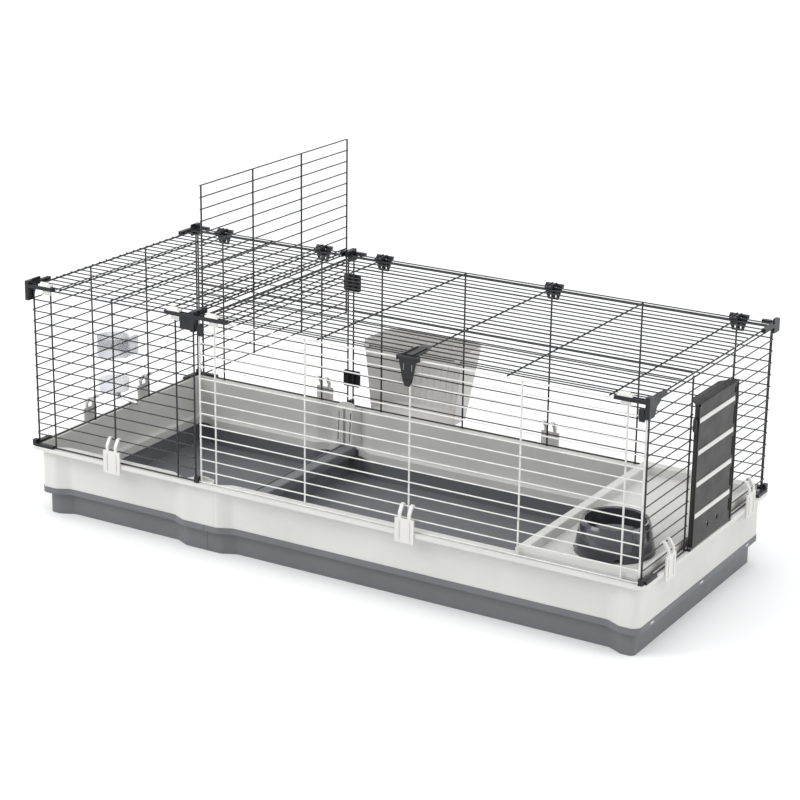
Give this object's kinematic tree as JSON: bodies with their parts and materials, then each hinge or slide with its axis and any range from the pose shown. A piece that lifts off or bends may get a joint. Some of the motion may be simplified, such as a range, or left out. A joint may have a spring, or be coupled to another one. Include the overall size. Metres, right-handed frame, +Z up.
{
  "type": "small animal cage",
  "caption": "Long low wire cage on plastic trays, two joined modules with opening roofs, fold-down front, sliding divider, end ladder, shelf, bowl, hay rack and bottle.",
  "frame": {"origin": "on the floor, under the middle of the rim's footprint", "axes": "+X along the length towards the end with the ladder, +Y to the rear where the hay rack hangs, +Z up"},
  "size_m": [1.4916, 0.713, 0.7584],
  "materials": {
    "light_plastic": "satin",
    "grey_plastic": "satin",
    "black_plastic": "satin",
    "white_plastic": "gloss",
    "black_wire": "satin",
    "white_wire": "satin",
    "bowl_plastic": "gloss",
    "steel": "satin",
    "clear_plastic": "clear",
    "strip_plastic": "satin"
  },
  "bodies": {
    "cage": {"base_tray_left": "grey_plastic", "base_tray_right": "grey_plastic", "collar_left": "light_plastic", "collar_right": "light_plastic", "collar_snap_tabs": "light_plastic", "tray_joint_bar": "grey_plastic", "guide_sleeve_front": "light_plastic", "guide_sleeve_rear": "light_plastic", "front_left_panel": "black_wire", "rear_panel_left": "black_wire", "rear_panel_right": "black_wire", "left_end_panel": "black_wire", "right_end_panel": "black_wire", "hinge_panel_leaves": "black_plastic", "hinge_pins": "steel", "top_connector_front_left": "black_plastic", "top_connector_front_middle": "black_plastic", "top_connector_front_right": "black_plastic", "top_connector_rear_left": "black_plastic", "top_connector_rear_middle": "black_plastic", "top_connector_rear_right": "black_plastic", "bottom_corner_clamps": "black_plastic", "rear_joining_plates": "black_plastic", "lock_catches_panel": "black_wire", "ladder_brackets": "black_plastic", "ladder_pin": "steel", "shelf": "light_plastic", "hay_rack": "light_plastic", "hay_rack_hooks": "light_plastic", "bottle": "clear_plastic", "bottle_cap": "clear_plastic", "bottle_spout": "steel", "bottle_holder": "clear_plastic"},
    "front_door": {"front_door": "white_wire", "latch_carrier": "black_plastic", "lock_catches_door": "white_plastic", "door_top_clips": "black_plastic"},
    "latch_tongue": {"latch_tongue": "black_plastic"},
    "roof_left": {"roof_left": "black_wire", "hinge_roof_leaves_left": "black_plastic"},
    "roof_right": {"roof_right": "black_wire", "hinge_roof_leaves_right": "black_plastic", "latch_arm": "black_plastic"},
    "divider": {"divider_panel": "black_wire"},
    "ladder": {"ladder": "black_plastic", "ladder_strips": "strip_plastic"},
    "bowl": {"bowl": "bowl_plastic"},
    "roof_lock_1": {"roof_lock_1": "white_plastic"},
    "roof_lock_2": {"roof_lock_2": "white_plastic"},
    "roof_lock_3": {"roof_lock_3": "white_plastic"},
    "roof_lock_4": {"roof_lock_4": "white_plastic"},
    "tray_clip_front_left": {"tray_clip_front_left": "light_plastic"},
    "tray_clip_front_door": {"tray_clip_front_door": "light_plastic"},
    "tray_clip_rear_left": {"tray_clip_rear_left": "light_plastic"},
    "tray_clip_rear_right": {"tray_clip_rear_right": "light_plastic"},
    "tray_clip_left_end_1": {"tray_clip_left_end_1": "light_plastic"},
    "tray_clip_left_end_2": {"tray_clip_left_end_2": "light_plastic"},
    "tray_clip_right_end_1": {"tray_clip_right_end_1": "light_plastic"},
    "tray_clip_right_end_2": {"tray_clip_right_end_2": "light_plastic"}
  },
  "joints": [
    {"name": "front_door_hinge", "type": "hinge", "parent": "cage", "child": "front_door", "pos_m": [0.209, -0.2903, 0.1539], "axis": [1, 0, 0], "range_deg": [0, 100]},
    {"name": "latch_tongue_hinge", "type": "hinge", "parent": "front_door", "child": "latch_tongue", "pos_m": [0.209, -0.2978, 0.5], "axis": [-1, 0, 0], "range_deg": [0, 75]},
    {"name": "front_door_clip_hinge", "type": "hinge", "parent": "front_door", "child": "tray_clip_front_door", "pos_m": [0.209, -0.29, 0.2023], "axis": [-1, 0, 0], "range_deg": [0, 100]},
    {"name": "roof_left_hinge", "type": "hinge", "parent": "cage", "child": "roof_left", "pos_m": [-0.492, 0.299, 0.503], "axis": [-1, 0, 0], "range_deg": [0, 110]},
    {"name": "roof_right_hinge", "type": "hinge", "parent": "cage", "child": "roof_right", "pos_m": [0.209, 0.299, 0.503], "axis": [-1, 0, 0], "range_deg": [0, 110]},
    {"name": "divider_slide", "type": "slide", "parent": "cage", "child": "divider", "axis": [0, 0, 1], "range_m": [-0.306, 0]},
    {"name": "ladder_hinge", "type": "hinge", "parent": "cage", "child": "ladder", "pos_m": [0.707, 0, 0.159], "axis": [0, 1, 0], "range_deg": [0, 115]},
    {"name": "bowl_lift", "type": "slide", "parent": "cage", "child": "bowl", "axis": [0, 0, 1], "range_m": [0, 0.12]},
    {"name": "roof_lock_1_slide", "type": "slide", "parent": "cage", "child": "roof_lock_1", "axis": [0, 1, 0], "range_m": [0, 0.004]},
    {"name": "roof_lock_2_slide", "type": "slide", "parent": "cage", "child": "roof_lock_2", "axis": [0, 1, 0], "range_m": [0, 0.004]},
    {"name": "roof_lock_3_slide", "type": "slide", "parent": "cage", "child": "roof_lock_3", "axis": [0, 1, 0], "range_m": [0, 0.004]},
    {"name": "roof_lock_4_slide", "type": "slide", "parent": "cage", "child": "roof_lock_4", "axis": [0, 1, 0], "range_m": [0, 0.004]},
    {"name": "tray_clip_front_left_hinge", "type": "hinge", "parent": "cage", "child": "tray_clip_front_left", "pos_m": [-0.492, -0.29, 0.2023], "axis": [-1, 0, 0], "range_deg": [0, 120]},
    {"name": "tray_clip_rear_left_hinge", "type": "hinge", "parent": "cage", "child": "tray_clip_rear_left", "pos_m": [-0.359, 0.29, 0.2023], "axis": [1, 0, 0], "range_deg": [0, 120]},
    {"name": "tray_clip_rear_right_hinge", "type": "hinge", "parent": "cage", "child": "tray_clip_rear_right", "pos_m": [0.209, 0.29, 0.2023], "axis": [1, 0, 0], "range_deg": [0, 120]},
    {"name": "tray_clip_left_end_1_hinge", "type": "hinge", "parent": "cage", "child": "tray_clip_left_end_1", "pos_m": [-0.7, -0.096, 0.2023], "axis": [0, 1, 0], "range_deg": [0, 120]},
    {"name": "tray_clip_left_end_2_hinge", "type": "hinge", "parent": "cage", "child": "tray_clip_left_end_2", "pos_m": [-0.7, 0.096, 0.2023], "axis": [0, 1, 0], "range_deg": [0, 120]},
    {"name": "tray_clip_right_end_1_hinge", "type": "hinge", "parent": "cage", "child": "tray_clip_right_end_1", "pos_m": [0.7, -0.19, 0.2023], "axis": [0, -1, 0], "range_deg": [0, 120]},
    {"name": "tray_clip_right_end_2_hinge", "type": "hinge", "parent": "cage", "child": "tray_clip_right_end_2", "pos_m": [0.7, 0.19, 0.2023], "axis": [0, -1, 0], "range_deg": [0, 120]}
  ],
  "couplings": [
    {"joint": "front_door_clip_hinge", "follows": "front_door_hinge", "ratio": 1}
  ]
}
